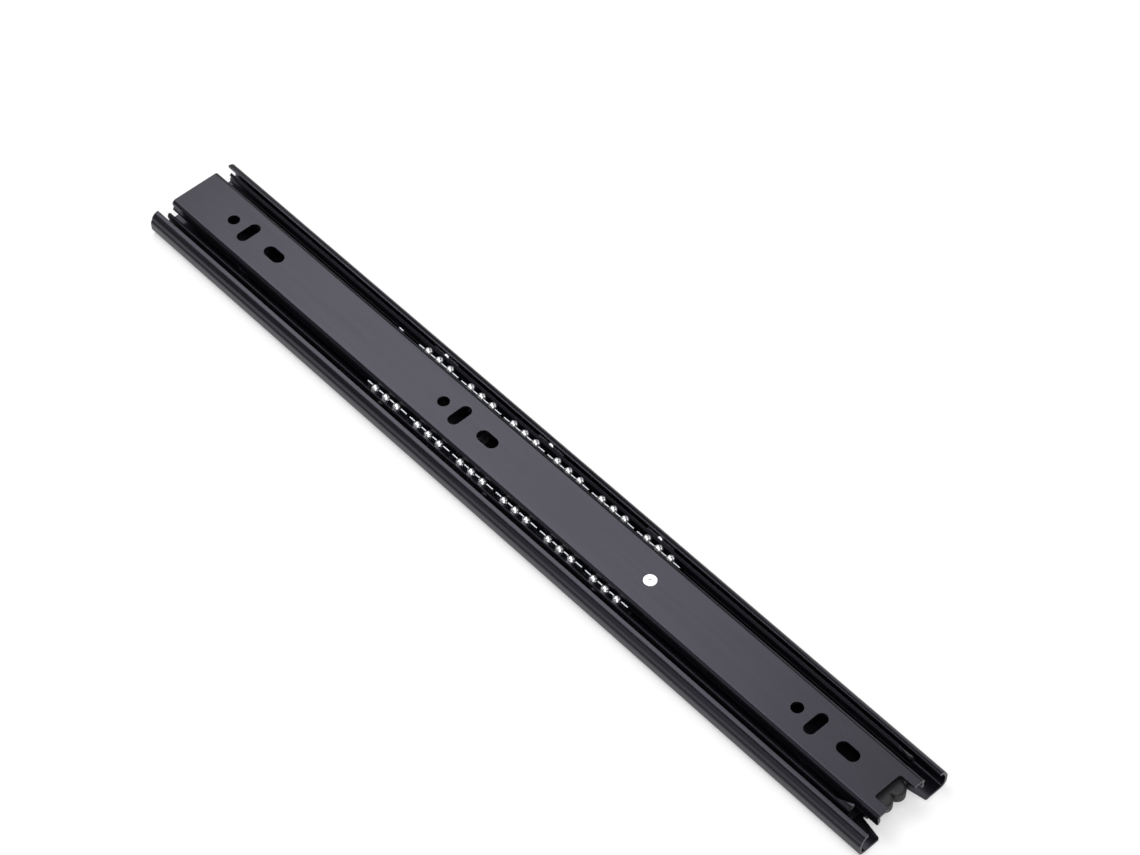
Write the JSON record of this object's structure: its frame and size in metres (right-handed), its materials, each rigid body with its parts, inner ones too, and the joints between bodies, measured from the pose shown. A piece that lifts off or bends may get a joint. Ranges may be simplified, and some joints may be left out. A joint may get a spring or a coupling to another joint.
{
  "type": "cabinet drawer slide",
  "caption": "Full-extension ball-bearing drawer slide with nested cabinet, intermediate and drawer members, caged balls, a rear bumper and a release lever.",
  "frame": {"origin": "middle of the face that lies against the cabinet, with the slide closed", "axes": "+X along the slide, the way the drawer opens; +Y across it; +Z from the cabinet to the drawer"},
  "size_m": [0.4, 0.045, 0.0127],
  "materials": {
    "black_coated_steel": "semi-gloss black electro-coat on cold-rolled steel",
    "zinc_plated_steel": "bright zinc plate",
    "polished_ball_steel": "polished bearing steel",
    "black_elastomer": "matt moulded elastomer",
    "black_plastic": "moulded acetal"
  },
  "bodies": {
    "cabinet": {"cabinet_member": "black_coated_steel", "rear_bumper": "black_elastomer"},
    "outer_cage": {"outer_retainer": "zinc_plated_steel", "outer_balls_left": "polished_ball_steel", "outer_balls_right": "polished_ball_steel"},
    "intermediate": {"intermediate_member": "black_coated_steel"},
    "inner_cage": {"inner_retainer": "zinc_plated_steel", "inner_balls_left_1": "polished_ball_steel", "inner_balls_left_2": "polished_ball_steel", "inner_balls_left_3": "polished_ball_steel", "inner_balls_left_4": "polished_ball_steel", "inner_balls_left_5": "polished_ball_steel", "inner_balls_left_6": "polished_ball_steel", "inner_balls_right_1": "polished_ball_steel", "inner_balls_right_2": "polished_ball_steel", "inner_balls_right_3": "polished_ball_steel", "inner_balls_right_4": "polished_ball_steel", "inner_balls_right_5": "polished_ball_steel", "inner_balls_right_6": "polished_ball_steel"},
    "drawer": {"drawer_member": "black_coated_steel", "lever_rivet": "zinc_plated_steel"},
    "lever": {"release_lever": "black_plastic"}
  },
  "joints": [
    {"name": "intermediate_slide", "type": "slide", "parent": "cabinet", "child": "intermediate", "axis": [1, 0, 0], "range_m": [0, 0.2]},
    {"name": "outer_cage_slide", "type": "slide", "parent": "cabinet", "child": "outer_cage", "axis": [1, 0, 0], "range_m": [0, 0.1]},
    {"name": "drawer_slide", "type": "slide", "parent": "intermediate", "child": "drawer", "axis": [1, 0, 0], "range_m": [0, 0.2]},
    {"name": "inner_cage_slide", "type": "slide", "parent": "intermediate", "child": "inner_cage", "axis": [1, 0, 0], "range_m": [0, 0.1]},
    {"name": "lever_press", "type": "hinge", "parent": "drawer", "child": "lever", "pos_m": [-0.07, 0, 0.01], "axis": [0, 0, -1], "range_deg": [0, 4], "stiffness_Nm_per_rad": 1.5}
  ],
  "couplings": [
    {"joint": "outer_cage_slide", "follows": "intermediate_slide", "ratio": 0.5},
    {"joint": "inner_cage_slide", "follows": "drawer_slide", "ratio": 0.5}
  ]
}
